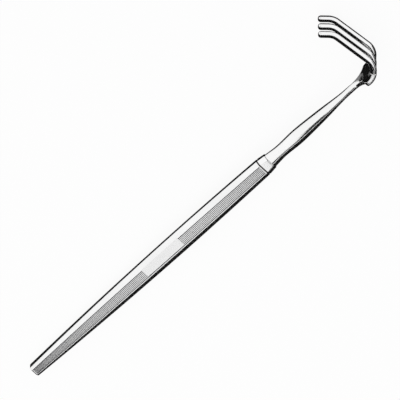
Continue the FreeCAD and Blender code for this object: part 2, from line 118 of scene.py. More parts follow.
# palm: a fan whose edge swings out on one radius and turns back on another, then curls with the prongs
FLARE_START = COLLAR + 48.0
FLARE_RADIUS = 7.2
CORNER_RADIUS = 1.8
FLARE_ROOT = 1.3
PALM_HALF_WIDTH = 8.75
PALM_HALF_THICKNESS = 1.45
PALM_EDGE_RADIUS = 0.9
FLARE_TURN = acos(1 - (PALM_HALF_WIDTH - FLARE_ROOT) / (FLARE_RADIUS + CORNER_RADIUS))
CORNER_END = FLARE_START + (FLARE_RADIUS + CORNER_RADIUS) * sin(FLARE_TURN)
PALM_FLAT = 0.1
BEND_START = CORNER_END + PALM_FLAT
BEND_RADIUS = 6.6
WEB_SWEEP = radians(38)
LIP_ROUNDING = 0.25

# prongs
PRONG_PLACES = {"upper": 7.3, "middle": 0.0, "lower": -7.3}
PRONG_RADIUS = 1.4
PRONG_BEND = radians(95.7)
PRONG_STRAIGHT = 16.2
TIP_BEND = radians(38.5)
TIP_BEND_RADIUS = 6.0
TIP_LENGTH = 4.3
TIP_ROUNDING = 1.2
ROD_POINTS = 40

# the braze ring at a prong's root: into each piece, proud of the rod, and down below its surface
RING_OVERLAP = 0.02
RING_PROUD = 0.045
RING_DEPTH = 0.3

# the floor touches the butt's lower edge and the lower corner of the palm
FLOOR_SLOPE = (PALM_HALF_WIDTH - HALF_THICKNESS) / (CORNER_END - BUTT_ROUNDING)


def floor_height(x):
    return -HALF_THICKNESS - FLOOR_SLOPE * (x - BUTT_ROUNDING)


# shader building


def add_node(tree, kind, inputs=None, **settings):
    made = tree.nodes.new(kind)
    for key, setting in settings.items():
        setattr(made, key, setting)
    for key, given in (inputs or {}).items():
        if isinstance(given, bpy.types.NodeSocket):
            tree.links.new(given, made.inputs[key])
        else:
            made.inputs[key].default_value = given
    return made


def maths(tree, operation, first, second=0.0, third=0.0, clamp=False):
    given = {0: first, 1: second, 2: third}
    return add_node(tree, "ShaderNodeMath", given, operation=operation, use_clamp=clamp).outputs[0]


def mix_colour(tree, share, first, second):
    made = add_node(tree, "ShaderNodeMix", {0: share, 6: first, 7: second}, data_type="RGBA")
    return made.outputs[2]


def new_group(name, inputs, outputs):
    """An empty node group with named sockets: inputs as (name, kind, value), outputs as (name, kind)."""
    tree = bpy.data.node_groups.new(name, "ShaderNodeTree")
    for socket_name, kind, start in inputs:
        socket = tree.interface.new_socket(socket_name, in_out="INPUT", socket_type=f"NodeSocket{kind}")
        socket.default_value = start
    for socket_name, kind in outputs:
        tree.interface.new_socket(socket_name, in_out="OUTPUT", socket_type=f"NodeSocket{kind}")
    return tree, tree.nodes.new("NodeGroupInput").outputs, tree.nodes.new("NodeGroupOutput").inputs


def place_group(tree, group, inputs=None):
    return add_node(tree, "ShaderNodeGroup", inputs, node_tree=group).outputs


def make_grain_group():
    """Fine polishing lines: noise drawn out along the bar. Counts are lines per metre."""
    tree, given, out = new_group(
        "polishing_grain",
        [("Along", "Float", 200.0), ("Across", "Float", 9000.0)],
        [("Height", "Float")],
    )
    place = add_node(tree, "ShaderNodeTexCoord").outputs["Object"]
    counts = {"X": given["Along"], "Y": given["Across"], "Z": given["Across"]}
    stretch = add_node(tree, "ShaderNodeCombineXYZ", counts).outputs[0]
    stretched = add_node(tree, "ShaderNodeVectorMath", {0: place, 1: stretch}, operation="MULTIPLY")
    noise_inputs = {"Vector": stretched.outputs[0], "Scale": 1.0, "Detail": 3.0, "Roughness": 0.65}
    noise = add_node(tree, "ShaderNodeTexNoise", noise_inputs)
    tree.links.new(noise.outputs["Fac"], out["Height"])
    return tree


# scratches stay only where the cloudy noise times the contrast is above the sparseness
SCRATCH_CONTRAST, SCRATCH_SPARSENESS = 6.0, 3.2


def make_marks_group():
    """Handling marks: hair scratches where a warped noise crosses its middle, and soft cloudy patches."""
    tree, given, out = new_group(
        "handling_marks",
        [
            ("Scratch count", "Float", 260.0),
            ("Scratch width", "Float", 0.012),
            ("Patch count", "Float", 90.0),
        ],
        [("Scratches", "Float"), ("Patches", "Float")],
    )
    place = add_node(tree, "ShaderNodeTexCoord").outputs["Object"]
    warped = {"Vector": place, "Scale": given["Scratch count"], "Detail": 1.0, "Distortion": 1.4}
    lines = add_node(tree, "ShaderNodeTexNoise", warped).outputs["Fac"]
    offset = maths(tree, "ABSOLUTE", maths(tree, "SUBTRACT", lines, 0.5))
    near = maths(tree, "DIVIDE", offset, given["Scratch width"])
    line = maths(tree, "SUBTRACT", 1.0, near, clamp=True)
    broken_inputs = {"Vector": place, "Scale": given["Patch count"], "Detail": 2.0}
    broken = add_node(tree, "ShaderNodeTexNoise", broken_inputs).outputs["Fac"]
    kept = maths(tree, "MULTIPLY_ADD", broken, SCRATCH_CONTRAST, -SCRATCH_SPARSENESS, clamp=True)
    tree.links.new(maths(tree, "MULTIPLY", line, kept), out["Scratches"])
    tree.links.new(broken, out["Patches"])
    return tree


# how far each mark changes the steel's colour
PATCH_CONTRAST, PATCH_BASE = 0.16, 0.92
SATIN_DARKENING = 0.02
SCRATCH_DARKENING = 0.15
EDGE_BRIGHTENING = 0.7


def make_ageing_and_shade_group():
    """Steel's colour with painted shade in its hollows, bright rubbed edges, soft patches and hair scratches.
    """
    tree, given, out = new_group(
        "steel_ageing_and_shade",
        [
            ("Steel", "Color", (0.78, 0.78, 0.78, 1)),
            ("Hollow", "Color", (0.1, 0.1, 0.1, 1)),
            ("Rubbed", "Color", (0.9, 0.9, 0.9, 1)),
            ("Patches", "Float", 0.5),
            ("Scratches", "Float", 0.0),
        ],
        [("Color", "Color"), ("Hollows", "Float"), ("Edges", "Float"), ("Satin", "Float")],
    )
    hollow = add_node(tree, "ShaderNodeAttribute", attribute_name="hollow").outputs["Fac"]
    edge = add_node(tree, "ShaderNodeAttribute", attribute_name="edge").outputs["Fac"]
    satin = add_node(tree, "ShaderNodeAttribute", attribute_name="satin").outputs["Fac"]
    cloudy = add_node(tree, "ShaderNodeHueSaturation", {"Color": given["Steel"]})
    level = maths(tree, "MULTIPLY_ADD", given["Patches"], PATCH_CONTRAST, PATCH_BASE)
    level = maths(tree, "MULTIPLY_ADD", satin, -SATIN_DARKENING, level)
    tree.links.new(level, cloudy.inputs["Value"])
    scratched = maths(tree, "MULTIPLY", given["Scratches"], SCRATCH_DARKENING)
    marked = mix_colour(tree, scratched, cloudy.outputs[0], given["Hollow"])
    brightened = maths(tree, "MULTIPLY", edge, EDGE_BRIGHTENING)
    rubbed = mix_colour(tree, brightened, marked, given["Rubbed"])
    # painted shade: the hollow mask darkens the flutes and the steel beside the seams towards the hollow
    # colour
    tree.links.new(mix_colour(tree, hollow, rubbed, given["Hollow"]), out["Color"])
    tree.links.new(hollow, out["Hollows"])
    tree.links.new(edge, out["Edges"])
    tree.links.new(satin, out["Satin"])
    return tree


GRAIN = make_grain_group()
MARKS = make_marks_group()
AGEING_AND_SHADE = make_ageing_and_shade_group()

# the colour of the painted shade in the flutes and beside the seams; scratches darken towards it too
DARK_HOLLOW = (0.05, 0.05, 0.055, 1)
BRIGHT_EDGE = (0.9, 0.9, 0.9, 1)

# how far each mark changes the steel's roughness, and how deep scratches are beside the grain
PATCH_ROUGHNESS = 0.12
GRAIN_ROUGHNESS = 0.08
SCRATCH_ROUGHNESS = 0.15
HOLLOW_ROUGHNESS = 0.35
SATIN_ROUGHNESS = 0.05
EDGE_SMOOTHNESS = 0.05
SCRATCH_DEPTH = 0.35
BUMP_STRENGTH = 0.6


def steel(name, colour, roughness, grain, grain_depth, rubbed=BRIGHT_EDGE):
    """Stainless steel: grain is (lines along, lines across) per metre, grain_depth is in metres."""
    material = bpy.data.materials.new(name)
    material.use_nodes = True
    tree = material.node_tree
    shader = tree.nodes["Principled BSDF"]
    shader.inputs["Metallic"].default_value = 1.0
    marks = place_group(tree, MARKS)
    wear_and_shade = {
        "Steel": colour,
        "Hollow": DARK_HOLLOW,
        "Rubbed": rubbed,
        "Patches": marks["Patches"],
        "Scratches": marks["Scratches"],
    }
    aged_and_shaded = place_group(tree, AGEING_AND_SHADE, wear_and_shade)
    lines = place_group(tree, GRAIN, {"Along": grain[0], "Across": grain[1]})
    tree.links.new(aged_and_shaded["Color"], shader.inputs["Base Color"])
    lowest = roughness - PATCH_ROUGHNESS / 2
    rough = maths(tree, "MULTIPLY_ADD", marks["Patches"], PATCH_ROUGHNESS, lowest)
    rough = maths(tree, "MULTIPLY_ADD", lines["Height"], GRAIN_ROUGHNESS, rough)
    rough = maths(tree, "MULTIPLY_ADD", marks["Scratches"], SCRATCH_ROUGHNESS, rough)
    rough = maths(tree, "MULTIPLY_ADD", aged_and_shaded["Hollows"], HOLLOW_ROUGHNESS, rough)
    rough = maths(tree, "MULTIPLY_ADD", aged_and_shaded["Satin"], SATIN_ROUGHNESS, rough)
    rough = maths(tree, "MULTIPLY_ADD", aged_and_shaded["Edges"], -EDGE_SMOOTHNESS, rough, clamp=True)
    tree.links.new(rough, shader.inputs["Roughness"])
    height = maths(tree, "MULTIPLY_ADD", marks["Scratches"], -SCRATCH_DEPTH, lines["Height"])
    bump_inputs = {"Height": height, "Strength": BUMP_STRENGTH, "Distance": grain_depth}
    bump = add_node(tree, "ShaderNodeBump", bump_inputs)
    tree.links.new(bump.outputs[0], shader.inputs["Normal"])
    return material


fluted_steel = steel("fluted_steel", (0.92, 0.92, 0.92, 1), 0.17, (260, 9000), 0.000002)
polished_steel = steel("polished_steel", (0.93, 0.93, 0.93, 1), 0.1, (5200, 5200), 0.0000008)
braze_filler = steel(
    "braze_filler", (0.3, 0.28, 0.25, 1), 0.34, (4000, 4000), 0.000006, rubbed=(0.55, 0.5, 0.42, 1)
)


# mesh building


MERGE_DISTANCE = 1e-5
SHARP_EDGE = radians(38)


def finish_piece(bm, name, material, replaced, marks=None, flat_faces=False):
    """Turns a bmesh in millimetres into a smooth-shaded piece that stands for a CAD node."""
    bmesh.ops.remove_doubles(bm, verts=bm.verts, dist=MERGE_DISTANCE)
    bmesh.ops.recalc_face_normals(bm, faces=bm.faces)
    for face in bm.faces:
        face.smooth = True
    for edge in bm.edges:
        if len(edge.link_faces) == 2 and edge.calc_face_angle() > SHARP_EDGE:
            edge.smooth = False
    if marks:
        layers = [bm.verts.layers.float.new(layer) for layer in ("hollow", "edge", "satin")]
        for vertex in bm.verts:
            for layer, amount in zip(layers, marks(vertex.co)):
                vertex[layer] = amount
    bmesh.ops.scale(bm, vec=(METRES, METRES, METRES), verts=bm.verts)
    mesh = bpy.data.meshes.new(name)
    bm.to_mesh(mesh)
    bm.free()
    mesh.materials.append(material)
    piece = bpy.data.objects.new(name, mesh)
    bpy.context.scene.collection.objects.link(piece)
    if flat_faces:
        piece.modifiers.new("flat_faces", "WEIGHTED_NORMAL").keep_sharp = True
    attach(piece, "root")
    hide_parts(replaced)
    return piece


def start_ring(bm, points):
    """A closed loop of edges through the points, each vertex numbered by its place in the loop."""
    place = bm.verts.layers.int.get("place") or bm.verts.layers.int.new("place")
    ring = []
    for number, point in enumerate(points):
        vertex = bm.verts.new(point)
        vertex[place] = number
        ring.append(vertex)
    return [bm.edges.new(pair) for pair in zip(ring, ring[1:] + ring[:1])]


def grow(bm, edges, points):
    """Extrudes a numbered loop of edges and sets its new vertices on the points."""
    place = bm.verts.layers.int["place"]
    grown = bmesh.ops.extrude_edge_only(bm, edges=edges)["geom"]
    fresh = {item for item in grown if isinstance(item, bmesh.types.BMVert)}
    for vertex in fresh:
        vertex.co = points[vertex[place]]
    return [e for e in grown if isinstance(e, bmesh.types.BMEdge) and fresh.issuperset(e.verts)]


def loft(bm, rings):
    """Skins a row of rings, and gives back the first and the last loop of edges."""
    first = start_ring(bm, rings[0])
    last = first
    for ring in rings[1:]:
        last = grow(bm, last, ring)
    return first, last


def close_loop(bm, edges):
    bmesh.ops.contextual_create(bm, geom=edges)


def line_with_bore(bm, outer_start, start, outer_end, end, radius, segments=48):
    """Opens a bore along X between two flat ends: outer_end is None for a blind bore, closed at end."""
    turn = Matrix.Translation((start, 0, 0)) @ Matrix.Rotation(pi / 2, 4, "Y")
    mouth = bmesh.ops.create_circle(bm, segments=segments, radius=radius, matrix=turn)["verts"]
    rim = list({edge for vertex in mouth for edge in vertex.link_edges})
    bmesh.ops.bridge_loops(bm, edges=outer_start + rim)
    grown = bmesh.ops.extrude_edge_only(bm, edges=rim)["geom"]
    fresh = {item for item in grown if isinstance(item, bmesh.types.BMVert)}
    bmesh.ops.translate(bm, verts=list(fresh), vec=(end - start, 0, 0))
    inner = [e for e in grown if isinstance(e, bmesh.types.BMEdge) and fresh.issuperset(e.verts)]
    if outer_end is None:
        close_loop(bm, inner)
    else:
        bmesh.ops.bridge_loops(bm, edges=outer_end + inner)


def corner_arc(corner, before, after, tangent, steps):
    """Points of the round that softens a corner: tangent is the length it takes from each side."""
    corner, before, after = Vector(corner), Vector(before), Vector(after)
    start = corner + (before - corner).normalized() * tangent
    end = corner + (after - corner).normalized() * tangent
    points = []
    for step in range(steps + 1):
        share = step / steps
        points.append((1 - share) ** 2 * start + 2 * share * (1 - share) * corner + share**2 * end)
    return points


def long_curve(at_butt, at_widest, station):
    """The bar's long circular edge, which leaves the butt at one height and peaks at the widest station."""
    rise = at_widest - at_butt
    if rise == 0:
        return at_widest
    radius = (WIDEST_STATION**2 + rise**2) / (2 * rise)
    return at_widest - radius + sqrt(radius**2 - (station - WIDEST_STATION) ** 2)


def flute_radius(number):
    """The outermost flute on each side is a wider one, like a border."""
    return BORDER_FLUTE_RADIUS if abs(number) == FLUTES_EACH_SIDE else FLUTE_RADIUS


def flute_presence(station, number, top):
    """From 0 to 1: how deep a flute is cut at a station. On top only the one at -Y runs past the pad."""
    spans = [(FLUTES_START, FLUTES_END)]
    if top and number > -FLUTES_EACH_SIDE:
        spans = [(FLUTES_START, PAD_START), (PAD_END, FLUTES_END)]
    depth = 0.0
    for start, end in spans:
        inside = min(station - start, end - station) / FLUTE_RUN_OUT
        depth = max(depth, min(1.0, max(0.0, inside)))
    return sin(depth * pi / 2)


def bar_face(station, half_thickness, face, top):
    """Points across one broad face, from its -Y side to its +Y side, with its flutes."""
    points = []
    for number in range(-FLUTES_EACH_SIDE, FLUTES_EACH_SIDE + 1):
        side = 1 if number > 0 else -1
        count = abs(number)
        centre = side * long_curve(count * PITCH_AT_BUTT, count * PITCH_AT_WIDEST, station)
        radius = flute_radius(number)
        centre = min(max(centre, radius - face), face - radius)
        depth = radius * flute_presence(station, number, top)
        half_steps = 3
        for step in range(-half_steps, half_steps + 1):
            turn = step / half_steps * pi / 2
            points.append((centre + radius * sin(turn), half_thickness - depth * cos(turn)))
    return points


def bar_section(station, inset=0.0):
    """The bar's section as a loop of (y, z): broad faces with flutes, bevels and upright sides."""
    side = long_curve(SIDE_AT_BUTT, SIDE_AT_WIDEST, station) - inset
    face = long_curve(FACE_AT_BUTT, FACE_AT_WIDEST, station) - inset / 2
    thick = HALF_THICKNESS - inset
    shoulder = thick - (side - face) * BEVEL_SLOPE
    outer_flute = long_curve(
        FLUTES_EACH_SIDE * PITCH_AT_BUTT, FLUTES_EACH_SIDE * PITCH_AT_WIDEST, station
    )
    border = face - outer_flute - BORDER_FLUTE_RADIUS
    face_tangent = max(LEAST_FACE_ROUNDING, FACE_EDGE_SHARE * border)
    side_tangent = SIDE_EDGE_RADIUS * tan((pi / 2 - BEVEL_ANGLE) / 2)
    top = bar_face(station, thick, face, True)
    face_corner, side_corner = (face, thick), (side, shoulder)
    side_below = (side, -shoulder)
    round_face = corner_arc(face_corner, (0, thick), side_corner, face_tangent, FACE_ROUND_STEPS)
    round_side = corner_arc(side_corner, face_corner, side_below, side_tangent, SIDE_ROUND_STEPS)
    right_top = [tuple(p) for p in round_face + round_side]
    left_top = [(-y, z) for y, z in reversed(right_top)]
    right_bottom = [(y, -z) for y, z in reversed(right_top)]
    left_bottom = [(-y, z) for y, z in reversed(right_bottom)]
    bottom = [(y, -z) for y, z in reversed(bar_face(station, thick, face, False))]
    return top + right_top + right_bottom + bottom + left_bottom + left_top


def at_station(station, section):
    return [Vector((station, y, z)) for y, z in section]


def spread(start, end, count):
    """Even steps from start, without the end itself."""
    return [start + (end - start) * step / count for step in range(count)]


def handle_stations():
    """Stations along the bar, closer together where flutes run out."""
    front = HANDLE_LENGTH - SEAM_CHAMFER
    marks = [BUTT_ROUNDING, FLUTES_START, PAD_START, PAD_END, FLUTES_END, front - SEAM_SHADE_EDGE, front]
    stations = set(marks)
    for start, end in zip(marks, marks[1:]):
        stations.update(spread(start, end, max(1, round((end - start) / STATION_SPACING))))
    stations.add(PAD_START + BESIDE_FLUTE_END)
    stations.add(PAD_END - BESIDE_FLUTE_END)
    stations.add(FLUTES_END + BESIDE_FLUTE_END)
    for end_mark in (FLUTES_START, PAD_END):
        stations.update(spread(end_mark, end_mark + FLUTE_RUN_OUT, 5))
    for end_mark in (PAD_START, FLUTES_END):
        stations.update(spread(end_mark - FLUTE_RUN_OUT, end_mark, 5))
    return sorted(stations)


def handle_marks(place):
    """How hollow, how rubbed and how satin the bar is: painted shade in the flutes and beside the seam,
    bright rubbed long edges and a satin pad.
    """
    x, y, z = place
    side = long_curve(SIDE_AT_BUTT, SIDE_AT_WIDEST, x)
    face = long_curve(FACE_AT_BUTT, FACE_AT_WIDEST, x)
    depth = HALF_THICKNESS - abs(z)
    in_face = abs(y) < face - FACE_MARGIN and BUTT_ROUNDING < x < HANDLE_LENGTH - SEAM_CHAMFER
    hollow = 0.0
    # painted shade: a flute is painted darker the deeper it is cut
    if in_face and depth < 2 * FLUTE_RADIUS:
        hollow = min(1.0, HOLLOW_GAIN * depth / FLUTE_RADIUS)
    # painted shade: the seam's chamfer and the steel just before it are painted fully dark
    if x > HANDLE_LENGTH - SEAM_CHAMFER - SEAM_SHADE_EDGE / 2:
        hollow = 1.0
    near_side = max(0.0, 1 - abs(side - abs(y)) / RUBBED_SIDE_WIDTH)
    near_butt = max(0.0, 1 - x / RUBBED_BUTT_LENGTH)
    pad_edge = -PITCH_AT_WIDEST * (FLUTES_EACH_SIDE - 0.5)
    on_face = z > 0 and depth < PAD_FLATNESS and pad_edge < y < face
    satin = 1.0 if on_face and PAD_START <= x <= PAD_END else 0.0
    return hollow, min(1.0, max(near_side, near_butt)), satin


def make_handle():
    bm = bmesh.new()
    rings = []
    steps = 5
    for step in range(steps):
        turn = step * pi / 2 / steps
        inset = BUTT_ROUNDING * (1 - sin(turn))
        station = BUTT_ROUNDING * (1 - cos(turn))
        rings.append(at_station(station, bar_section(station, inset)))
    for station in handle_stations():
        rings.append(at_station(station, bar_section(station)))
    rings.append(at_station(HANDLE_LENGTH, bar_section(HANDLE_LENGTH, SEAM_CHAMFER)))
    butt, front = loft(bm, rings)
    close_loop(bm, butt)
    line_with_bore(bm, front, HANDLE_LENGTH, None, BORE_END, TANG_BORE_RADIUS)
    return finish_piece(bm, "handle_bar", fluted_steel, "handle", handle_marks, True)


def band_section(share, inset):
    """The ferrule's section: share is 0 at the handle and 1 at the neck."""

    def between(back, front):
        return back + (front - back) * share

    side_back = long_curve(SIDE_AT_BUTT, SIDE_AT_WIDEST, HANDLE_LENGTH)
    face_back = long_curve(FACE_AT_BUTT, FACE_AT_WIDEST, HANDLE_LENGTH)
    side = between(side_back, FERRULE_FRONT_HALF_WIDTH) - inset
    face = between(face_back, FERRULE_FRONT_FACE_HALF_WIDTH) - inset / 2
    thick = between(HALF_THICKNESS, FERRULE_FRONT_HALF_THICKNESS) - inset
    drop = between((side_back - face_back) * BEVEL_SLOPE, FERRULE_FRONT_BEVEL_DEPTH)
    shoulder = thick - drop
    face_corner, side_corner = (face, thick), (side, shoulder)
    side_below = (side, -shoulder)
    face_tangent, side_tangent = FERRULE_FACE_ROUNDING, FERRULE_SIDE_ROUNDING
    round_face = corner_arc(face_corner, (0, thick), side_corner, face_tangent, FACE_ROUND_STEPS)
    round_side = corner_arc(side_corner, face_corner, side_below, side_tangent, SIDE_ROUND_STEPS)
    right_top = [tuple(p) for p in round_face + round_side]
    right_bottom = [(y, -z) for y, z in reversed(right_top)]
    left_bottom = [(-y, z) for y, z in reversed(right_bottom)]
    left_top = [(-y, z) for y, z in reversed(right_top)]
    return right_top + right_bottom + left_bottom + left_top


def band_marks(place):
    # painted shade: the ferrule's chamfer at the seam is painted fully dark
    near_seam = 1.0 if place.x < FERRULE_BACK + SEAM_CHAMFER + SEAM_SHADE_EDGE / 2 else 0.0
    near_front = max(0.0, 1 - (COLLAR - place.x) / RUBBED_FERRULE_LENGTH)
    return near_seam, near_front, 0.0


def make_ferrule():
    bm = bmesh.new()
    length = COLLAR - FERRULE_BACK
    rounding = FERRULE_FRONT_ROUNDING
    stations = [(0.0, SEAM_CHAMFER), (SEAM_CHAMFER, 0.0), (SEAM_CHAMFER + SEAM_SHADE_EDGE, 0.0)]
    stations += [(length * share, 0.0) for share in (0.2, 0.4, 0.6, 0.8)]
    front_steps = 4
    for step in range(front_steps + 1):
        turn = step / front_steps * pi / 2
        stations.append((length - rounding * (1 - sin(turn)), rounding * (1 - cos(turn))))
    rings = [
        at_station(FERRULE_BACK + along, band_section(along / length, inset)) for along, inset in stations
    ]
    back, front = loft(bm, rings)
    line_with_bore(bm, back, FERRULE_BACK, front, COLLAR, TANG_BORE_RADIUS)
    return finish_piece(bm, "ferrule_band", polished_steel, "ferrule", band_marks, True)


def make_ferrule_seam():
    """The braze film between the handle's end and the ferrule, seen as the dark line across the bar."""
    bm = bmesh.new()
    outline = band_section(0, SEAM_CHAMFER + SEAM_SINK)
    back, front = loft(bm, [at_station(HANDLE_LENGTH, outline), at_station(FERRULE_BACK, outline)])
    line_with_bore(bm, back, HANDLE_LENGTH, front, FERRULE_BACK, TANG_BORE_RADIUS)
    return finish_piece(bm, "ferrule_seam", braze_filler, "ferrule_braze")


RING_POINTS = 64


def smooth_through(stations, x):
    """Half width and half height at x, on a smooth curve through the neck's stations."""
    last = len(stations) - 1
    number = max(i for i in range(last) if stations[i][0] <= x or i == 0)
    x0, x1 = stations[number][0], stations[number + 1][0]
    share = (x - x0) / (x1 - x0)
    values = []
    for column in (1, 2):
        p0, p1 = stations[number][column], stations[number + 1][column]
        slopes = []
        for i in (number, number + 1):
            before, after = stations[max(0, i - 1)], stations[min(last, i + 1)]
            slopes.append((after[column] - before[column]) / (after[0] - before[0]))
        m0, m1 = (slope * (x1 - x0) for slope in slopes)
        values.append(
            (2 * share**3 - 3 * share**2 + 1) * p0
            + (share**3 - 2 * share**2 + share) * m0
            + (3 * share**2 - 2 * share**3) * p1
            + (share**3 - share**2) * m1
        )
    return values


def rounded_plate(half_thickness, half_width, rounding):
    """A section with four round corners; equal sizes give a circle. Points go round from +Y."""
    points = []
    for number in range(RING_POINTS):
        turn = (number + 0.5) * 2 * pi / RING_POINTS
        across, up = cos(turn), sin(turn)
        y = (half_thickness - rounding) * (1 if across > 0 else -1) + rounding * across
        z = (half_width - rounding) * (1 if up > 0 else -1) + rounding * up
        points.append((y, z))
    return points


def oval(half_width, half_height):
    points = []
    for number in range(RING_POINTS):
        turn = (number + 0.5) * 2 * pi / RING_POINTS
        points.append((half_width * cos(turn), half_height * sin(turn)))
    return points


def palm_stations():
    """(station, half width) along the fan's edge, first on the flare radius, then on the corner radius."""
    stations = []
    steps = 16
    for step in range(steps + 1):
        turn = FLARE_TURN * step / steps
        stations.append((FLARE_START + FLARE_RADIUS * sin(turn), FLARE_ROOT + FLARE_RADIUS * (1 - cos(turn))))
    for step in range(1, steps + 1):
        turn = FLARE_TURN * (1 - step / steps)
        half = PALM_HALF_WIDTH - CORNER_RADIUS * (1 - cos(turn))
        stations.append((CORNER_END - CORNER_RADIUS * sin(turn), half))
    return stations


def make_shank():
    bm = bmesh.new()
    chamfer = SHANK_CHAMFER
    rings = [
        at_station(TANG_START, oval(TANG_RADIUS - chamfer, TANG_RADIUS - chamfer)),
        at_station(TANG_START + chamfer, oval(TANG_RADIUS, TANG_RADIUS)),
        at_station(COLLAR, oval(TANG_RADIUS, TANG_RADIUS)),
        at_station(COLLAR, oval(*(half - chamfer for half in NECK_STATIONS[0][1:]))),
    ]
    neck_steps = 70
    for x in spread(COLLAR + chamfer, FLARE_START, neck_steps):
        rings.append(at_station(x, oval(*smooth_through(NECK_STATIONS, x))))
    neck_end = NECK_STATIONS[-1][1]
    palm_length = CORNER_END - FLARE_START
    for x, half in palm_stations():
        share = (x - FLARE_START) / palm_length
        ease = share * share * (3 - 2 * share)
        thickness = neck_end + (PALM_HALF_THICKNESS - neck_end) * ease
        rounding = neck_end + (PALM_EDGE_RADIUS - neck_end) * ease
        width = sqrt(half**2 + (neck_end**2 - FLARE_ROOT**2) * (1 - ease))
        rings.append(at_station(x, rounded_plate(thickness, width, min(rounding, thickness))))
    lip = rounded_plate(PALM_HALF_THICKNESS, PALM_HALF_WIDTH, PALM_EDGE_RADIUS)
    bend_steps = 14
    ends = [(turn_step / bend_steps, 0.0) for turn_step in range(bend_steps)]
    end_steps = 4
    lip_share = LIP_ROUNDING / (BEND_RADIUS * WEB_SWEEP)
    for step in range(end_steps + 1):
        turn = step * pi / 2 / end_steps
        ends.append((1 - lip_share * (1 - sin(turn)), LIP_ROUNDING * (1 - cos(turn))))
    bend_centre = Vector((BEND_START, BEND_RADIUS, 0))
    for share, inset in ends:
        section = lip
        if inset:
            section = rounded_plate(
                PALM_HALF_THICKNESS - inset, PALM_HALF_WIDTH - inset, PALM_EDGE_RADIUS - inset
            )
        turned = Matrix.Rotation(WEB_SWEEP * share, 3, "Z")
        rings.append([bend_centre + turned @ (p - bend_centre) for p in at_station(BEND_START, section)])
    tang, lip_end = loft(bm, rings)
    close_loop(bm, tang)
    close_loop(bm, lip_end)
    return finish_piece(bm, "neck_and_palm", polished_steel, "shank")


def rest_on_lip():
    """Moves a piece made along +X from the origin to the middle prong's root on the palm's lip."""
    bend_centre = Vector((BEND_START, BEND_RADIUS, 0))
    root = bend_centre + Matrix.Rotation(WEB_SWEEP, 3, "Z") @ Vector((0, -BEND_RADIUS, 0))
    return Matrix.Translation(root) @ Matrix.Rotation(WEB_SWEEP, 4, "Z")


def last_loop(spun):
    return [item for item in spun["geom_last"] if isinstance(item, bmesh.types.BMEdge)]


def push(bm, edges, step):
    """Extrudes a loop of edges straight along a step."""
    grown = bmesh.ops.extrude_edge_only(bm, edges=edges)["geom"]
    fresh = {item for item in grown if isinstance(item, bmesh.types.BMVert)}
    bmesh.ops.translate(bm, verts=list(fresh), vec=step)
    return [e for e in grown if isinstance(e, bmesh.types.BMEdge) and fresh.issuperset(e.verts)]


def make_prong(name, across):
    bm = bmesh.new()
    root = Matrix.Translation((SEAM, 0, 0)) @ Matrix.Rotation(pi / 2, 4, "Y")
    circle = bmesh.ops.create_circle(bm, segments=ROD_POINTS, radius=PRONG_RADIUS, matrix=root)["verts"]
    loop = list({edge for vertex in circle for edge in vertex.link_edges})
    root_loop = list(loop)
    straight_steps = 4
    heading = 0.0
    point = Vector((SEAM, 0, 0))
    for turn, radius, length, steps in (
        (PRONG_BEND - WEB_SWEEP, BEND_RADIUS, PRONG_STRAIGHT, 28),
        (TIP_BEND, TIP_BEND_RADIUS, TIP_LENGTH, 20),
    ):
        centre = point + Matrix.Rotation(heading, 3, "Z") @ Vector((0, radius, 0))
        spun = bmesh.ops.spin(
            bm, geom=loop, cent=centre, axis=(0, 0, 1), angle=turn, steps=steps, use_merge=False
        )
        loop = last_loop(spun)
        heading += turn
        point = centre + Matrix.Rotation(heading, 3, "Z") @ Vector((0, -radius, 0))
        step = Matrix.Rotation(heading, 3, "Z") @ Vector((length / straight_steps, 0, 0))
        for _ in range(straight_steps):
            loop = push(bm, loop, step)
            point = point + step
    close_loop(bm, root_loop)
    close_loop(bm, loop)
    bmesh.ops.recalc_face_normals(bm, faces=bm.faces)
    bmesh.ops.bevel(
        bm, geom=loop, offset=TIP_ROUNDING, segments=9, profile=0.5, affect="EDGES", material=-1
    )
    bmesh.ops.transform(bm, matrix=Matrix.Translation((0, 0, across)) @ rest_on_lip(), verts=bm.verts)
    return finish_piece(bm, f"prong_{name}_rod", polished_steel, f"prong_{name}")


def make_prong_seam(name, across):
    """The ring of braze at a prong's root, a little proud of the rod."""
    bm = bmesh.new()
    back, front = -RING_OVERLAP, SEAM + RING_OVERLAP
    profile = ((back, -RING_DEPTH), (back, 0.0), (SEAM / 2, RING_PROUD), (front, 0.0), (front, -RING_DEPTH))
    for along, proud in profile:
        bm.verts.new((along, PRONG_RADIUS + proud, 0))
    bm.verts.ensure_lookup_table()
    corners = list(bm.verts)
    edges = [bm.edges.new(pair) for pair in zip(corners, corners[1:] + corners[:1])]
    bmesh.ops.spin(
        bm,
        geom=corners + edges,
        cent=(0, 0, 0),
        axis=(1, 0, 0),
        angle=2 * pi,
        steps=ROD_POINTS,
        use_merge=True,
    )
    bmesh.ops.transform(bm, matrix=Matrix.Translation((0, 0, across)) @ rest_on_lip(), verts=bm.verts)
    return finish_piece(bm, f"prong_{name}_seam", braze_filler, f"prong_{name}_braze")


make_handle()
make_ferrule()
make_ferrule_seam()
make_shank()
for prong_name, prong_across in PRONG_PLACES.items():
    make_prong(prong_name, prong_across)
    make_prong_seam(prong_name, prong_across)

# the braze sleeve round the tang is sealed inside, so it keeps its CAD shape
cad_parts["tang_braze"].data.materials.clear()
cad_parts["tang_braze"].data.materials.append(braze_filler)

# studio


def background_share(tree):
    """1 for rays that come from the camera or by way of metal, 0 for the light on other surfaces."""
    path = add_node(tree, "ShaderNodeLightPath").outputs
    seen = maths(tree, "MAXIMUM", path["Is Camera Ray"], path["Is Glossy Ray"])
    return maths(tree, "MAXIMUM", seen, path["Is Transmission Ray"])


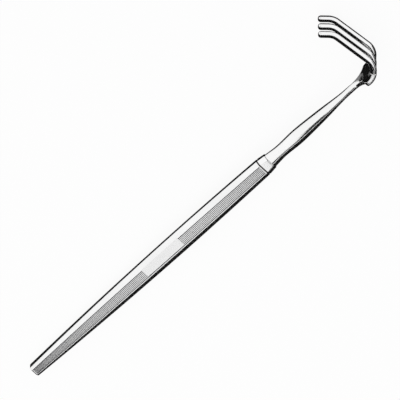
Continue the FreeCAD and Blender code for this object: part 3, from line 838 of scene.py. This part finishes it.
# the studio's levels, where 1 is white
WORLD_LEVEL = 0.72
TABLE_COLOUR = (0.85, 0.85, 0.85, 1)
TABLE_GLOW = 0.92
BLACK_CARD_LEVEL, GREY_CARD_LEVEL = 0.012, 0.28
TABLE_REACH = 3000


def make_world(level):
    world = bpy.data.worlds.new("studio")
    bpy.context.scene.world = world
    world.use_nodes = True
    tree = world.node_tree
    shader = tree.nodes["Background"]
    shader.inputs["Color"].default_value = (1, 1, 1, 1)
    strength = maths(tree, "MULTIPLY_ADD", background_share(tree), 1 - level, level)
    tree.links.new(strength, shader.inputs["Strength"])


def sheet_mesh(name, corners, material):
    """A flat four-cornered stage piece, with its corners in millimetres."""
    bm = bmesh.new()
    bm.faces.new([bm.verts.new(Vector(corner) * METRES) for corner in corners])
    mesh = bpy.data.meshes.new(name)
    bm.to_mesh(mesh)
    bm.free()
    mesh.materials.append(material)
    piece = bpy.data.objects.new(name, mesh)
    bpy.context.scene.collection.objects.link(piece)
    return piece


def make_floor(reach):
    material = bpy.data.materials.new("pale_table")
    material.use_nodes = True
    tree = material.node_tree
    shader = tree.nodes["Principled BSDF"]
    shader.inputs["Base Color"].default_value = TABLE_COLOUR
    shader.inputs["Roughness"].default_value = 0.9
    shader.inputs["Specular IOR Level"].default_value = 0.0
    glow = add_node(tree, "ShaderNodeEmission", {"Color": (1, 1, 1, 1), "Strength": 1.0}).outputs[0]
    share = maths(tree, "MULTIPLY", background_share(tree), TABLE_GLOW)
    mixed = add_node(tree, "ShaderNodeMixShader", {0: share, 1: shader.outputs[0], 2: glow}).outputs[0]
    tree.links.new(mixed, tree.nodes["Material Output"].inputs["Surface"])
    corners = ((-reach, -reach), (reach, -reach), (reach, reach), (-reach, reach))
    return sheet_mesh("floor", [(x, y, floor_height(x)) for x, y in corners], material)


def card_material(name, level):
    material = bpy.data.materials.new(name)
    material.use_nodes = True
    shader = material.node_tree.nodes["Principled BSDF"]
    shader.inputs["Base Color"].default_value = (level, level, level, 1)
    shader.inputs["Roughness"].default_value = 1.0
    shader.inputs["Specular IOR Level"].default_value = 0.0
    return material


# cards that stand or hang: where they are, in millimetres
CARD_LIFT = 0.3
SIDE_Y = -400
SIDE_CARD_X, SIDE_CARD_Z = (-500, 1000), (-40, 330)
LINE_CARD_X, LINE_CARD_Z = (-600, 320), (400, 640)
END_X, END_CARD_Y, END_CARD_Z = -350, (-420, 10), (-20, 560)
CANOPY_Z = 140
CANOPY_X, CANOPY_Y = (190, 222), (-90, 40)
PRONG_CARD_X = 190

# cards that lie on the table, in front of the bar and beside the head, as corners (x, y)
TABLE_CARDS = {
    "floor_card": ((-250, SIDE_Y), (260, SIDE_Y), (260, 0), (-250, 0)),
    "bar_card": ((-4, 0), (132, 0), (132, 18), (-4, 10)),
    "neck_card": ((132, 0), (184, 0), (184, 9), (178, 14), (178, 22), (132, 22)),
    "head_card": ((192, -3), (217, -3), (217, 44), (189, 44), (189, 7.2), (190.5, 2.5)),
    "flare_card": ((184, 0), (191.3, 0), (190.5, 2.5), (189, 7.2), (189, 12), (184, 12)),
}
SLIM_CARD = ((95, -92), (166, -92), (166, -60), (144, -60), (144, -10), (116, -16))
PRONG_CARD = ((4, -12), (40, -12), (40, 140), (-90, 140), (-40, 62), (-7, 40), (-4, 30), (3, 7))


def oblong(low, high):
    """The four corners of an oblong, from its lowest and highest first and second measure."""
    return ((low[0], high[0]), (low[1], high[0]), (low[1], high[1]), (low[0], high[1]))


def make_cards():
    """Black cards, and a grey one, that only the metal sees: they draw the dark lines along its edges."""
    cards = {}
    for name, corners in TABLE_CARDS.items():
        cards[name] = [(x, y, floor_height(x) + CARD_LIFT) for x, y in corners]
    cards["side_card"] = [(x, SIDE_Y, z) for x, z in oblong(SIDE_CARD_X, SIDE_CARD_Z)]
    cards["line_card"] = [(x, SIDE_Y, z) for x, z in oblong(LINE_CARD_X, LINE_CARD_Z)]
    cards["end_card"] = [(END_X, y, z) for y, z in oblong(END_CARD_Y, END_CARD_Z)]
    cards["canopy_card"] = [(x, y, CANOPY_Z) for x, y in oblong(CANOPY_X, CANOPY_Y)]
    cards["slim_card"] = [(x, y, CANOPY_Z) for x, y in SLIM_CARD]
    cards["prong_card"] = [(PRONG_CARD_X, y, z) for y, z in PRONG_CARD]
    black = card_material("black_card", BLACK_CARD_LEVEL)
    grey = card_material("grey_card", GREY_CARD_LEVEL)
    for name, corners in cards.items():
        card = sheet_mesh(name, corners, grey if name == "flare_card" else black)
        card.visible_camera = False
        card.visible_diffuse = False
        card.visible_shadow = False
        card.visible_transmission = False


# the view: the photograph's directions, with a long lens, from far off. The clip range is in metres.
VIEW_RIGHT = Vector((0.70924, -0.70496, 0.00207))
VIEW_UP = Vector((0.62977, 0.63227, -0.45125))
VIEW_BACK = Vector((0.3168, 0.32135, 0.8924))
LENS = 1700
SENSOR = 36
VIEW_WIDTH = 165.7
VIEW_CENTRE = Vector((104.98, 7.53, -0.14))
CLIP_START, CLIP_END = 0.5, 30


def make_camera():
    data = bpy.data.cameras.new("camera")
    data.lens = LENS
    data.sensor_width = SENSOR
    camera = bpy.data.objects.new("camera", data)
    bpy.context.scene.collection.objects.link(camera)
    distance = VIEW_WIDTH * LENS / SENSOR
    data.clip_start = CLIP_START
    data.clip_end = CLIP_END
    turned = Matrix((VIEW_RIGHT, VIEW_UP, VIEW_BACK)).transposed().to_4x4()
    camera.matrix_world = Matrix.Translation((VIEW_CENTRE + distance * VIEW_BACK) * METRES) @ turned
    bpy.context.scene.camera = camera


# the softbox: its distance and size in metres, its power in watts
SOFTBOX_DIRECTION = (-0.35, -0.1, 0.93)
SOFTBOX_DISTANCE = 1.0
SOFTBOX_SIZE = 0.95
SOFTBOX_POWER = 3.2
OBJECT_MIDDLE = Vector((100, 0, 0))


def make_softbox(name, direction, distance, size, power):
    """A square lamp aimed at the object's middle. Metal doesn't mirror it."""
    data = bpy.data.lights.new(name, "AREA")
    data.shape = "SQUARE"
    data.size = size
    data.energy = power
    lamp = bpy.data.objects.new(name, data)
    bpy.context.scene.collection.objects.link(lamp)
    towards = Vector(direction).normalized()
    lamp.location = OBJECT_MIDDLE * METRES + towards * distance
    lamp.rotation_euler = towards.to_track_quat("Z", "Y").to_euler()
    lamp.visible_glossy = False


make_world(WORLD_LEVEL)
make_floor(TABLE_REACH)
make_cards()
make_camera()
make_softbox("top_softbox", SOFTBOX_DIRECTION, SOFTBOX_DISTANCE, SOFTBOX_SIZE, SOFTBOX_POWER)

scene = bpy.context.scene
scene.view_settings.view_transform = "Standard"
